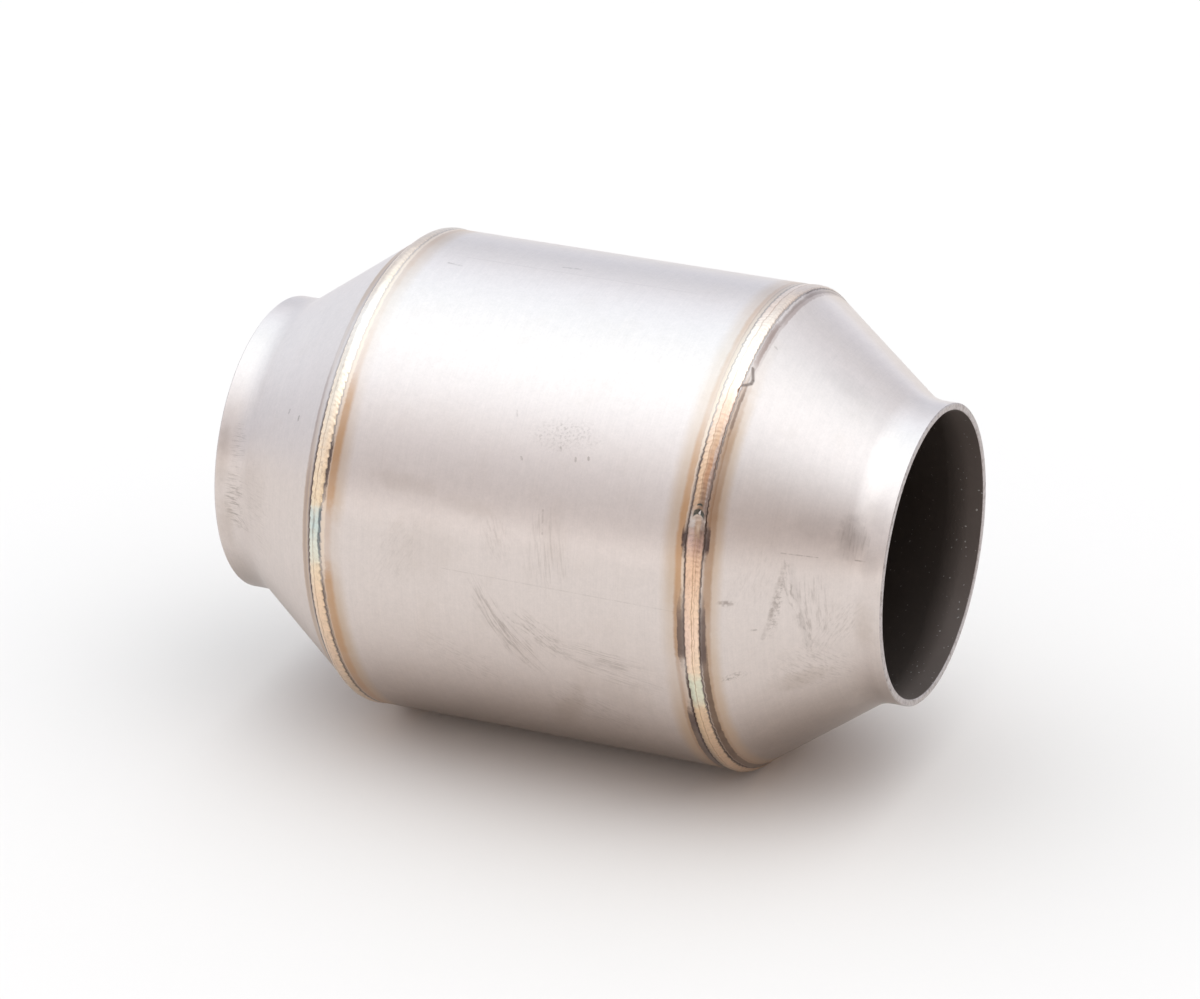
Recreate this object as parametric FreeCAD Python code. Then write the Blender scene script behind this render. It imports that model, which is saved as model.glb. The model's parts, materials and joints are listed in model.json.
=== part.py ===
"""Round in-line catalytic converter with two spun cones and a wound foil matrix.

Millimetres.  The gas flows along +X, from the inlet neck at -X to the outlet neck at +X.  The
origin is on the gas axis, midway between the two neck ends, and +Z is up.

Both ends are alike, so each end piece is drawn once for the outlet and turned half round for
the inlet.  Every tube, cone and weld is a section in the X-Z half plane, where X runs along
the gas axis and Z is the radius, revolved about the gas axis.
"""

import FreeCAD
import Part

import math
import os

Vector = FreeCAD.Vector

# Sheet metal body
SHEET = 1.8                  # wall of the barrel, cones and necks
BARREL_RADIUS = 64.5         # outside
BARREL_LENGTH = 104.6
WELD_PITCH = 105.8           # between the middles of the two girth welds
CONE_ANGLE = 35.8            # half angle of a cone, degrees
NECK_RADIUS = 40.0           # outside of a neck, to take a three inch pipe inside
NECK_LENGTH = 7.6            # from the cone's sharp corner to the neck's end
CONE_FILLET = 11.2           # outside radius that runs a cone into its neck
EDGE_BREAK = 0.25            # off both edges of a neck's end

# Rolled seams
SEAM_GAP = 1.6               # width of a lengthwise seam weld
BARREL_SEAM_ANGLE = 205.0    # about the gas axis, from straight up towards -Y
MANTLE_SEAM_ANGLE = 20.0

# Girth welds
BEAD_WIDTH = 4.0             # along the surface, toe to toe
BEAD_RISE = 0.55             # of the crown, above the straight line from toe to toe
ROOT_CROWN = 0.5             # height of the root run inside the body
TIE_IN_ANGLE = 11.0          # length of the overlap where the weld starts and stops
TIE_IN_RISE = 0.8
INLET_TIE_IN_AT = 330.0      # from straight up towards -Y
OUTLET_TIE_IN_AT = 69.0

# Matrix and its jacket tube
MANTLE_WALL = 1.5
MANTLE_LENGTH = 92.0
STITCH_COUNT = 4
STITCH_START = 50.0          # from straight up towards -Y
STITCH_ANGLE = 14.0          # length of one stitch weld about the gas axis
STITCH_LEG = 1.5
FOIL_LENGTH = 86.0
FOIL_THICKNESS = 0.3
CORE_RADIUS = 4.6            # where the winding starts
LAYER_PITCH = 4.2            # from one turn of the flat foil to the next
WAVE_PITCH = 8.4             # along the corrugated foil
WIDEST_WAVE = math.radians(60.0)
LOWEST_WAVE = 1.6            # the corrugated foil ends where its waves are squeezed this low

GAS_AXIS = Vector(1, 0, 0)
ORIGIN = Vector(0, 0, 0)
FULL_TURN = 360.0


def point(x, radius):
    """A point of a section: x along the gas axis, radius from it."""
    return Vector(x, 0, radius)


def line(start, end):
    return Part.LineSegment(start, end).toShape()


def arc(start, middle, end):
    return Part.Arc(start, middle, end).toShape()


def closed_lines(corners):
    """The straight edges that join the corners in turn and close the loop."""
    return [line(a, b) for a, b in zip(corners, corners[1:] + corners[:1])]


def revolve(edges, start=0.0, angle=FULL_TURN):
    """Turn a closed section about the gas axis, from start degrees through angle degrees."""
    solid = Part.Face(Part.Wire(edges)).revolve(ORIGIN, GAS_AXIS, angle)
    solid.rotate(ORIGIN, GAS_AXIS, start)
    return solid


def at_inlet(outlet_solid):
    """The inlet's copy of a solid drawn for the outlet."""
    copy = outlet_solid.copy()
    copy.rotate(ORIGIN, Vector(0, 0, 1), 180)
    return copy


def rolled_tube(outer_radius, wall, length, seam_angle):
    """A tube rolled from sheet, open along its seam, and the flush weld that closes the seam."""
    half, inner_radius = length / 2, outer_radius - wall
    section = closed_lines([point(-half, inner_radius), point(half, inner_radius),
                            point(half, outer_radius), point(-half, outer_radius)])
    gap = math.degrees(SEAM_GAP / outer_radius)
    shell = revolve(section, seam_angle + gap / 2, FULL_TURN - gap)
    weld = revolve(section, seam_angle - gap / 2, gap)
    return shell, weld


# Corners and directions that the outlet cone and its weld share
SLOPE = math.radians(CONE_ANGLE)
ALONG_CONE = Vector(math.cos(SLOPE), 0, -math.sin(SLOPE))
INTO_CONE = Vector(-math.sin(SLOPE), 0, -math.cos(SLOPE))
BODY_CORNER = point(WELD_PITCH / 2, BARREL_RADIUS)
BARREL_EDGE = BARREL_LENGTH / 2
CONE_EDGE = BODY_CORNER + ALONG_CONE * ((WELD_PITCH / 2 - BARREL_EDGE) / math.cos(SLOPE))
NECK_CORNER_X = BODY_CORNER.x + (BARREL_RADIUS - NECK_RADIUS) / math.tan(SLOPE)
NECK_END_X = NECK_CORNER_X + NECK_LENGTH


def cone_skin(depth):
    """The cone's line, fillet and neck at a depth below its outside, as edges in order."""
    fillet = CONE_FILLET + depth
    centre = point(NECK_CORNER_X + CONE_FILLET * math.tan(SLOPE / 2), NECK_RADIUS + CONE_FILLET)
    start = CONE_EDGE + INTO_CONE * depth
    tangent = centre + INTO_CONE * fillet
    middle = centre + Vector(-math.sin(SLOPE / 2), 0, -math.cos(SLOPE / 2)) * fillet
    neck = centre + Vector(0, 0, -fillet)
    end = point(NECK_END_X - EDGE_BREAK, neck.z)
    return [line(start, tangent), arc(tangent, middle, neck), line(neck, end)]


def cone():
    """Cone, fillet and neck, spun as one piece from sheet."""
    outside, inside = cone_skin(0.0), cone_skin(SHEET)
    bore_radius = NECK_RADIUS - SHEET
    rim = [point(NECK_END_X - EDGE_BREAK, NECK_RADIUS),
           point(NECK_END_X, NECK_RADIUS - EDGE_BREAK),
           point(NECK_END_X, bore_radius + EDGE_BREAK),
           point(NECK_END_X - EDGE_BREAK, bore_radius)]
    rim_edges = [line(a, b) for a, b in zip(rim, rim[1:])]
    wide_end = line(inside[0].Vertexes[0].Point, outside[0].Vertexes[0].Point)
    return revolve(outside + rim_edges + inside[::-1] + [wide_end])


def bead_section(rise):
    """Section of a girth weld: crown outside, filled groove and root run inside."""
    outward = (Vector(0, 0, 1) - INTO_CONE).normalize()
    barrel_toe = BODY_CORNER - GAS_AXIS * (BEAD_WIDTH / 2)
    cone_toe = BODY_CORNER + ALONG_CONE * (BEAD_WIDTH / 2)
    barrel_top = point(BARREL_EDGE, BARREL_RADIUS)
    barrel_root = point(BARREL_EDGE, BARREL_RADIUS - SHEET)
    cone_root = CONE_EDGE + INTO_CONE * SHEET
    barrel_inner_toe = barrel_root - GAS_AXIS * (SHEET / 2)
    cone_inner_toe = cone_root + ALONG_CONE * (SHEET / 2)
    root_middle = (barrel_root + cone_root) * 0.5 - outward * ROOT_CROWN
    crown_edge = arc(barrel_toe, (barrel_toe + cone_toe) * 0.5 + outward * rise, cone_toe)
    groove = [cone_toe, CONE_EDGE, cone_root, cone_inner_toe]
    root_edge = arc(cone_inner_toe, root_middle, barrel_inner_toe)
    back = [barrel_inner_toe, barrel_root, barrel_top, barrel_toe]
    sides = [line(a, b) for chain in (groove, back) for a, b in zip(chain, chain[1:])]
    return [crown_edge] + sides[:3] + [root_edge] + sides[3:]


def girth_weld(tie_in_at):
    """The weld all round, with the higher overlap where it starts and stops."""
    bead = revolve(bead_section(BEAD_RISE))
    overlap = revolve(bead_section(TIE_IN_RISE), tie_in_at - TIE_IN_ANGLE / 2, TIE_IN_ANGLE)
    return bead.fuse(overlap).removeSplitter()


def stitch_weld(index):
    """One short fillet weld that holds the mantle's inlet end to the barrel's wall."""
    wall = BARREL_RADIUS - SHEET
    mantle_end = -MANTLE_LENGTH / 2
    barrel_toe = point(mantle_end - STITCH_LEG, wall)
    mantle_toe = point(mantle_end, wall - STITCH_LEG)
    corner = point(mantle_end, wall)
    bulge = (barrel_toe + mantle_toe) * 0.5 + Vector(-1, 0, -1) * (STITCH_LEG / 10)
    section = [arc(barrel_toe, bulge, mantle_toe), line(mantle_toe, corner),
               line(corner, barrel_toe)]
    return revolve(section, STITCH_START + index * FULL_TURN / STITCH_COUNT, STITCH_ANGLE)


# The winding.  Turning angles are in radians and grow from the core outwards.
MATRIX_RADIUS = BARREL_RADIUS - SHEET - MANTLE_WALL
HALF_FOIL = FOIL_THICKNESS / 2
SLANT_THICKNESS = FOIL_THICKNESS * math.sqrt(2)


def spiral_radius(angle):
    """Middle of the flat foil, an even spiral."""
    return CORE_RADIUS + LAYER_PITCH * angle / (2 * math.pi)


def wave_angles():
    """Where each wave of the corrugated foil starts, out to where the spiral meets the mantle."""
    run_out = 2 * math.pi * (MATRIX_RADIUS - HALF_FOIL - CORE_RADIUS) / LAYER_PITCH
    angles = [0.0]
    while angles[-1] < run_out:
        step = min(WAVE_PITCH / spiral_radius(angles[-1]), WIDEST_WAVE)
        angles.append(angles[-1] + step)
    return angles[:-1] + [run_out]


def polar(radius, angle):
    """A point of the winding's section, in the plane across the gas axis."""
    return Vector(-FOIL_LENGTH / 2, radius * math.sin(angle), radius * math.cos(angle))


def foil(outer_line, inner_line):
    """A strip of foil between two lines across the gas axis, as long as the matrix."""
    corners = outer_line + inner_line[::-1]
    outline = Part.makePolygon(corners + corners[:1])
    return Part.Face(outline).extrude(GAS_AXIS * FOIL_LENGTH)


def flat_foil(angles):
    """The smooth strip.  It is folded where the corrugated strip stands on it."""
    outer_line = [polar(spiral_radius(a) + HALF_FOIL, a) for a in angles]
    inner_line = [polar(spiral_radius(a) - HALF_FOIL, a) for a in angles]
    return foil(outer_line, inner_line)


def roof_radius(angles, angle):
    """Underside of the flat foil's next turn above an angle, or the mantle past its end."""
    above = angle + 2 * math.pi
    for start, end in zip(angles, angles[1:]):
        if start <= above <= end:
            low, high = spiral_radius(start) - HALF_FOIL, spiral_radius(end) - HALF_FOIL
            share = low * math.sin(above - start) + high * math.sin(end - above)
            return low * high * math.sin(end - start) / share
    return MATRIX_RADIUS


def corrugated_foil(angles):
    """The waved strip: each valley stands on the flat foil and each crest meets the next turn."""
    outer_line, inner_line = [], []
    for start, end in zip(angles, angles[1:]):
        valley = spiral_radius(start) + HALF_FOIL
        crest_angle = (start + end) / 2
        crest = roof_radius(angles, crest_angle)
        if crest - valley < LOWEST_WAVE:
            break
        outer_line += [polar(valley + SLANT_THICKNESS, start), polar(crest, crest_angle)]
        inner_line += [polar(valley, start), polar(crest - SLANT_THICKNESS, crest_angle)]
    return foil(outer_line, inner_line)


def build():
    """Every node's name and solid."""
    barrel_shell, barrel_seam_weld = rolled_tube(
        BARREL_RADIUS, SHEET, BARREL_LENGTH, BARREL_SEAM_ANGLE)
    matrix_mantle, mantle_seam_weld = rolled_tube(
        BARREL_RADIUS - SHEET, MANTLE_WALL, MANTLE_LENGTH, MANTLE_SEAM_ANGLE)
    outlet_cone = cone()
    angles = wave_angles()
    nodes = {
        "barrel_shell": barrel_shell,
        "barrel_seam_weld": barrel_seam_weld,
        "inlet_cone": at_inlet(outlet_cone),
        "outlet_cone": outlet_cone,
        "inlet_girth_weld": at_inlet(girth_weld(INLET_TIE_IN_AT)),
        "outlet_girth_weld": girth_weld(OUTLET_TIE_IN_AT),
        "matrix_mantle": matrix_mantle,
        "mantle_seam_weld": mantle_seam_weld,
        "flat_foil": flat_foil(angles),
        "corrugated_foil": corrugated_foil(angles),
    }
    for index in range(STITCH_COUNT):
        nodes[f"mantle_stitch_weld_{index + 1}"] = stitch_weld(index)
    return nodes


os.makedirs("parts", exist_ok=True)
for name, solid in build().items():
    solid.exportStep(f"parts/{name}.step")
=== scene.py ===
"""Looks of a round in-line catalytic converter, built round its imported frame.

Metres.  The gas axis is X, the outlet is at +X and +Z is up.  A place on the body is told by x
and by its clock angle about the gas axis, in degrees: 0 is the -Y side and 90 is the top.
"""

import bisect
import json
import math

import bpy
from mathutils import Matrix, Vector, noise


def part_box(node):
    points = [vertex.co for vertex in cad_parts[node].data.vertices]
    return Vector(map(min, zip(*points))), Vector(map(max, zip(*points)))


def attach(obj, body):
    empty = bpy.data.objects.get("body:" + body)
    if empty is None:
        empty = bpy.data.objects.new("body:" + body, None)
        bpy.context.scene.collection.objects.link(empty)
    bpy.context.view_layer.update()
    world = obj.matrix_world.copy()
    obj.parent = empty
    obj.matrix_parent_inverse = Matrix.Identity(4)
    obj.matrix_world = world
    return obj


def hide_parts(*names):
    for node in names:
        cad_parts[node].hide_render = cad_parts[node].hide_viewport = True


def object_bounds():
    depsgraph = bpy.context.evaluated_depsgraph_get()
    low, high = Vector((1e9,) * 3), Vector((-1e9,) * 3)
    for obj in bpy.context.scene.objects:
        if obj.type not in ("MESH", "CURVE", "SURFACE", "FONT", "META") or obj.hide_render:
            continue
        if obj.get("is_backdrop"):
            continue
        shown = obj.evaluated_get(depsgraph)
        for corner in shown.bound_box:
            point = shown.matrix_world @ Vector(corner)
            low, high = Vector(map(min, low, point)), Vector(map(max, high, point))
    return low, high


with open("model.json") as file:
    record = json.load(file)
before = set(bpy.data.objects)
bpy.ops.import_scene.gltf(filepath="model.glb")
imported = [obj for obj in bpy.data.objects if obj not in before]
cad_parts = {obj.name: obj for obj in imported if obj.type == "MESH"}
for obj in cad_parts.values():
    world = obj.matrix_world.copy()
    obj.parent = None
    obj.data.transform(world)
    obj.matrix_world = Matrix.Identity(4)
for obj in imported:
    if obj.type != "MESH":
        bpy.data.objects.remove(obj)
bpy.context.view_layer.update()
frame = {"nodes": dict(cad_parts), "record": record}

MM = 0.001
GAS_AXIS = Vector((1, 0, 0))

# Sheet metal, as in the part's source
SHEET = 1.8 * MM
CONE_SLOPE = math.radians(35.8)
CONE_FILLET = 11.2 * MM
EDGE_BREAK = 0.25 * MM
SEAM_CLOCK = -115.0
ROUND_STEPS = 384

# Girth welds: the section of the part's source, with the crown's height above the corner and
# how much lower the crown is for each mm that the bead lies aside
ROOT_HALF_WIDTH = 1.5 * MM
ROOT_CROWN = 0.5 * MM
BUILT_HALF_WIDTH = 2.0 * MM
BEAD_LIFT = 0.52 * MM
FLATTER_ASIDE = 0.245

# The bead's mesh and ripples; TOE is the reach of both toes in the finishes' own measure
BEAD_STEPS = 2592
CROWN_POINTS = 22
RIPPLES = 320
RIPPLE_BOW = 0.9
RIPPLE_HEIGHT = 0.07
TOE = 2.1
OUTLET_SEED = 3.0
INLET_SEED = 11.0

# Where the outlet's bead was tied in: clock angles of its crater, the lump below it and the
# lap above it, then their sizes in mm
CRATER_CLOCK = 26.0
LUMP_CLOCK = 20.0
LAP_CLOCK = 56.4
LUMP_HEIGHT = 0.25
CRATER_DEPTH = 0.22
LAP_SHIFT = 0.8

# By clock angle, in mm: how far each bead's middle lies from the corner towards the cone,
# its half width, and how deep the teeth of its toes are
OUTLET_WANDER = [
    (-180, -0.7), (-60, 0.2), (-40, 0.15), (-20, 0.1), (-10, -0.1), (0, -0.2), (10, -0.4),
    (15, -0.65), (25, -1.1), (45, -1.25), (105, -1.3)]
INLET_WANDER = [
    (-180, 0.0), (-60, -0.3), (-40, -0.1), (-20, 0.2), (-5, 0.7), (10, 0.8), (30, 0.45),
    (60, 0.4), (90, 0.3)]
OUTLET_WIDTHS = [
    (-180, 1.95), (-40, 1.9), (-20, 1.7), (-5, 1.9), (10, 2.0), (20, 2.3), (28, 1.95),
    (60, 2.15), (105, 2.2)]
INLET_WIDTHS = [(-180, 2.3), (-30, 2.3), (5, 2.2), (20, 2.35), (60, 2.35)]
OUTLET_TEETH = [
    (-180, 0.2), (-45, 0.25), (-15, 0.3), (-5, 0.15), (25, 0.12), (35, 0.3), (60, 0.25),
    (100, 0.15)]
INLET_TEETH = [(-180, 0.2), (-20, 0.3), (0, 0.4), (25, 0.4), (50, 0.25), (100, 0.15)]


def node_size(name):
    """Half length and outer radius of a round CAD node that is centred on the origin."""
    low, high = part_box(name)
    return max(high.x, -low.x), max(high.z, -low.z)


def bore_radius(mount_name):
    mounts = {mount["name"]: mount for mount in frame["record"]["mounts"]}
    return mounts[mount_name]["dims"]["r_mm"] * MM


BARREL_HALF, BARREL_RADIUS = node_size("barrel_shell")
NECK_END, _ = node_size("outlet_cone")
NECK_RADIUS = bore_radius("outlet_neck") + SHEET
FOIL_HALF, FOIL_RADIUS = node_size("corrugated_foil")
CORNER_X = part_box("outlet_girth_weld")[0].x + BUILT_HALF_WIDTH
NECK_CORNER_X = CORNER_X + (BARREL_RADIUS - NECK_RADIUS) / math.tan(CONE_SLOPE)


# ---------------------------------------------------------------- modelling by hand

def deselect():
    bpy.ops.object.select_all(action="DESELECT")


def start_chain(name, first):
    """A new mesh that is one vertex, in edit mode and selected."""
    deselect()
    bpy.ops.mesh.primitive_plane_add(size=MM, location=first)
    piece = bpy.context.object
    piece.name = piece.data.name = name
    bpy.ops.object.transform_apply(location=True, rotation=True, scale=True)
    bpy.ops.object.mode_set(mode="EDIT")
    bpy.ops.mesh.select_all(action="SELECT")
    bpy.ops.mesh.merge(type="CENTER")
    return piece


def draw_section(name, corners):
    """A closed section in the X-Z half plane, drawn from corner to corner."""
    loop = list(corners) + [corners[0]]
    piece = start_chain(name, loop[0])
    for start, end in zip(loop, loop[1:]):
        bpy.ops.mesh.extrude_vertices_move(TRANSFORM_OT_translate={"value": end - start})
    return piece


def finish_mesh(piece, smooth_angle):
    bpy.ops.mesh.select_all(action="SELECT")
    bpy.ops.mesh.remove_doubles(threshold=0.002 * MM)
    bpy.ops.mesh.normals_make_consistent(inside=False)
    bpy.ops.object.mode_set(mode="OBJECT")
    bpy.ops.object.shade_smooth_by_angle(angle=math.radians(smooth_angle))
    deselect()
    return piece


def turned(name, corners, steps=ROUND_STEPS, smooth_angle=30.0):
    """A body of revolution: a section drawn as a chain and spun about the gas axis."""
    piece = draw_section(name, corners)
    bpy.ops.mesh.select_all(action="SELECT")
    bpy.ops.mesh.spin(steps=steps, angle=2 * math.pi, center=(0, 0, 0), axis=GAS_AXIS)
    return finish_mesh(piece, smooth_angle)


def fine_ring(name, corners, steps, smooth_angle):
    """As turned, but a sixteenth is spun and then doubled four times, which is much quicker."""
    piece = draw_section(name, corners)
    part = 2 * math.pi / 16
    bpy.ops.mesh.select_all(action="SELECT")
    bpy.ops.mesh.spin(steps=steps // 16, angle=part, center=(0, 0, 0), axis=GAS_AXIS)
    for doubling in range(4):
        bpy.ops.mesh.select_all(action="SELECT")
        bpy.ops.mesh.duplicate()
        bpy.ops.transform.rotate(value=part * 2 ** doubling, orient_axis="X",
                                 orient_type="GLOBAL", center_override=(0, 0, 0))
    return finish_mesh(piece, smooth_angle)


def turn_to_inlet(piece):
    """Turns a piece modelled at the outlet half round, to the inlet."""
    deselect()
    piece.select_set(True)
    bpy.context.view_layer.objects.active = piece
    bpy.ops.object.mode_set(mode="EDIT")
    bpy.ops.mesh.select_all(action="SELECT")
    bpy.ops.transform.rotate(value=math.pi, orient_axis="Z", orient_type="GLOBAL",
                             center_override=(0, 0, 0))
    bpy.ops.object.mode_set(mode="OBJECT")
    deselect()


def at(x, radius):
    return Vector((x, 0, radius))


def arc(centre, radius, start, end, count):
    """Points of an arc in the X-Z plane; angles in degrees from +X towards +Z."""
    angles = [math.radians(start + (end - start) * i / count) for i in range(count + 1)]
    return [centre + Vector((math.cos(a), 0, math.sin(a))) * radius for a in angles]


def grain_round_axis(piece):
    """Sets the mesh's texture space so that highlights stretch along the gas axis."""
    far = 1000.0
    piece.data.use_auto_texspace = False
    piece.data.texspace_location = (0, far, 0)
    piece.data.texspace_size = (far, far, far)


# ---------------------------------------------------------------- barrel and cones

ALONG_CONE = Vector((math.cos(CONE_SLOPE), 0, -math.sin(CONE_SLOPE)))
INTO_CONE = Vector((-math.sin(CONE_SLOPE), 0, -math.cos(CONE_SLOPE)))
OUTWARD = Vector((math.sin(CONE_SLOPE / 2), 0, math.cos(CONE_SLOPE / 2)))
BODY_CORNER = at(CORNER_X, BARREL_RADIUS)
INNER_CORNER = BODY_CORNER - OUTWARD * (SHEET / math.cos(CONE_SLOPE / 2))


def barrel():
    half, inner = BARREL_HALF, BARREL_RADIUS - SHEET
    section = [at(-half, inner), at(half, inner), at(half, BARREL_RADIUS),
               at(-half, BARREL_RADIUS)]
    return turned("barrel", section)


def cone_skin(depth):
    """The cone's skin at a depth below its outside, from the barrel end to the neck."""
    gap = (CORNER_X - BARREL_HALF) / math.cos(CONE_SLOPE)
    wide = BODY_CORNER + ALONG_CONE * gap + INTO_CONE * depth
    centre = at(NECK_CORNER_X + CONE_FILLET * math.tan(CONE_SLOPE / 2),
                NECK_RADIUS + CONE_FILLET)
    fillet = arc(centre, CONE_FILLET + depth, 270 - math.degrees(CONE_SLOPE), 270, 14)
    return [wide] + fillet + [at(NECK_END - EDGE_BREAK, NECK_RADIUS - depth)]


def cone(name):
    """Cone, fillet and neck with both edges of the neck's end broken."""
    rim = [at(NECK_END, NECK_RADIUS - EDGE_BREAK), at(NECK_END, NECK_RADIUS - SHEET + EDGE_BREAK)]
    return turned(name, cone_skin(0.0) + rim + cone_skin(SHEET)[::-1])


# ---------------------------------------------------------------- girth welds

def closed(table):
    """A table by clock angle from -180, with its first value given again at 180."""
    return table + [(180, table[0][1])]


def read_off(table, clock):
    """The value of a table at a clock angle, on straight lines between its entries."""
    for (low, first), (high, second) in zip(table, table[1:]):
        if clock <= high:
            return first + (second - first) * (clock - low) / (high - low)
    return table[-1][1]


def on_sheet(reach):
    """The point of the body's outside at a reach along it from the corner."""
    if reach < 0:
        return BODY_CORNER + GAS_AXIS * reach
    return BODY_CORNER + ALONG_CONE * reach


def crown_point(share, wander, half_width):
    """The crown from the barrel's toe, share 0, to the cone's toe, share 1."""
    barrel_toe = on_sheet(wander - half_width)
    cone_toe = on_sheet(wander + half_width)
    control = BODY_CORNER + OUTWARD * (2 * (BEAD_LIFT - FLATTER_ASIDE * abs(wander)))
    rest = 1 - share
    return barrel_toe * rest * rest + control * (2 * share * rest) + cone_toe * share * share


def bead_section():
    crown = [crown_point(i / CROWN_POINTS, 0.0, BUILT_HALF_WIDTH) for i in range(CROWN_POINTS + 1)]
    root = [INNER_CORNER + ALONG_CONE * ROOT_HALF_WIDTH, INNER_CORNER - OUTWARD * ROOT_CROWN,
            INNER_CORNER - GAS_AXIS * ROOT_HALF_WIDTH]
    return crown + root


def bump(value, middle, width):
    """1 at the middle, falling away to 0 on both sides."""
    return math.exp(-((value - middle) / width) ** 2)


def sine(value):
    """Of a number or a wire, in radians."""
    return value.maths("SINE") if isinstance(value, Wire) else math.sin(value)


def tooth(clock):
    """How far out the weld's saw-toothed toes stand at a clock angle; a number or a wire."""
    slow = sine(clock * math.radians(11))
    quick = sine(clock * math.radians(27))
    teeth = clock * (RIPPLES / 720) + 0.3 * slow + 0.25 * quick
    if isinstance(teeth, Wire):
        phase = teeth.maths("FRACT")
        return (1 - phase).least(phase * 6) - 0.45
    phase = teeth % 1.0
    return min(1 - phase, phase * 6) - 0.45


def ripple(across, clock, teeth, seed):
    """Height and sideways shift of the frozen puddle's ripples, in mm."""
    turn = math.radians(clock)
    round_about = Vector((math.cos(turn), math.sin(turn), seed))
    phase = (clock / 360 * RIPPLES + RIPPLE_BOW * across * across
             + 0.5 * noise.noise(round_about * 14)) % 1.0
    crest = (1 - phase) * min(1.0, phase / 0.2)
    height = RIPPLE_HEIGHT * (0.3 + across * across) * (crest - 0.4)
    height += 0.06 * noise.noise(round_about * 70 + Vector((0, 0, 2 * across)))
    sideways = across ** 3 * (teeth * tooth(clock) + 0.16 * noise.noise(round_about * 45))
    return height, sideways


def girth_weld(name, outlet, seed):
    """A bead with its ripples; the outlet's has the lump and crater where it was tied in."""
    wander = closed(OUTLET_WANDER if outlet else INLET_WANDER)
    widths = closed(OUTLET_WIDTHS if outlet else INLET_WIDTHS)
    teeth = closed(OUTLET_TEETH if outlet else INLET_TEETH)
    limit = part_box("outlet_girth_weld")[1].z
    section = bead_section()
    piece = fine_ring(name, section, steps=BEAD_STEPS, smooth_angle=60.0)
    crown = section[:CROWN_POINTS + 1]
    places = [point.x for point in crown]
    for vertex in piece.data.vertices:
        x, y, z = vertex.co
        if math.hypot(y, z) < crown[-1].z - 0.1 * MM:
            continue
        share = bisect.bisect_left(places, x - 0.01 * MM) / CROWN_POINTS
        turn = math.atan2(z, -y)
        clock = math.degrees(turn)
        if not outlet:
            clock = (360 - clock) % 360 - 180
        across = 2 * share - 1
        height, sideways = ripple(across, clock, read_off(teeth, clock), seed)
        width = read_off(widths, clock)
        if outlet:
            height += LUMP_HEIGHT * bump(clock, LUMP_CLOCK, 4.0) * (1 - across * across)
            height -= CRATER_DEPTH * bump(clock, CRATER_CLOCK, 0.8) * bump(across, 0.0, 0.5)
            sideways -= LAP_SHIFT * bump(clock, LAP_CLOCK, 0.8) * max(0.0, across) ** 2
        middle = read_off(wander, clock)
        place = crown_point(share, (middle + sideways) * MM, width * MM)
        place += OUTWARD * (height * MM * min(1.0, 4 * share * (1 - share) + 0.15))
        y = -place.z * math.cos(turn)
        z = place.z * math.sin(turn)
        vertex.co = (place.x, max(-limit, min(limit, y)), max(-limit, min(limit, z)))
    return piece


# ---------------------------------------------------------------- wound foils

LAYER_PITCH = 1.75 * MM
WAVE_PITCH = 3.4 * MM
FOIL_THICKNESS = 0.11 * MM
CORE_RADIUS = 2.2 * MM
WAVE_POINTS = 8
FLATNESS = 0.02 * MM
LAST_TURN = 2 * math.pi * (FOIL_RADIUS - FOIL_THICKNESS - CORE_RADIUS) / LAYER_PITCH


def spiral_radius(turn_angle):
    return CORE_RADIUS + LAYER_PITCH * turn_angle / (2 * math.pi)


def polar(radius, angle):
    return Vector((-FOIL_HALF, radius * math.sin(angle), radius * math.cos(angle)))


def foil(name, path):
    """A strip of foil: its edge drawn as a line, made as long as the matrix, given a wall."""
    curve = bpy.data.curves.new(name, "CURVE")
    curve.dimensions = "3D"
    line = curve.splines.new("POLY")
    line.points.add(len(path) - 1)
    for dot, place in zip(line.points, path):
        dot.co = (*place, 1)
    piece = bpy.data.objects.new(name, curve)
    bpy.context.scene.collection.objects.link(piece)
    deselect()
    piece.select_set(True)
    bpy.context.view_layer.objects.active = piece
    bpy.ops.object.convert(target="MESH")
    piece = bpy.context.object
    piece.data.name = name
    bpy.ops.object.mode_set(mode="EDIT")
    bpy.ops.mesh.select_all(action="SELECT")
    bpy.ops.mesh.extrude_region_move(
        TRANSFORM_OT_translate={"value": GAS_AXIS * (2 * FOIL_HALF)})
    bpy.ops.object.mode_set(mode="OBJECT")
    wall = piece.modifiers.new("wall", "SOLIDIFY")
    wall.thickness = FOIL_THICKNESS
    wall.offset = 0
    bpy.ops.object.modifier_apply(modifier=wall.name)
    deselect()
    return piece


def smooth_foil():
    path, angle = [], 0.0
    while angle < LAST_TURN:
        radius = spiral_radius(angle)
        path.append(polar(radius, angle))
        angle += 2 * math.acos(1 - FLATNESS / radius)
    return foil("smooth_foil", path)


def waved_foil():
    """Waves between one turn of the smooth foil and the next."""
    path, angle, phase = [], 0.0, 0
    while angle < LAST_TURN:
        low = spiral_radius(angle) + FOIL_THICKNESS
        high = min(spiral_radius(angle + 2 * math.pi), FOIL_RADIUS) - FOIL_THICKNESS
        if high - low < 0.3 * LAYER_PITCH:
            break
        lift = 0.5 - 0.5 * math.cos(2 * math.pi * phase / WAVE_POINTS)
        path.append(polar(low + (high - low) * lift, angle))
        angle += min(WAVE_PITCH / low, math.radians(60.0)) / WAVE_POINTS
        phase += 1
    return foil("waved_foil", path)


# ---------------------------------------------------------------- shader maths

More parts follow.
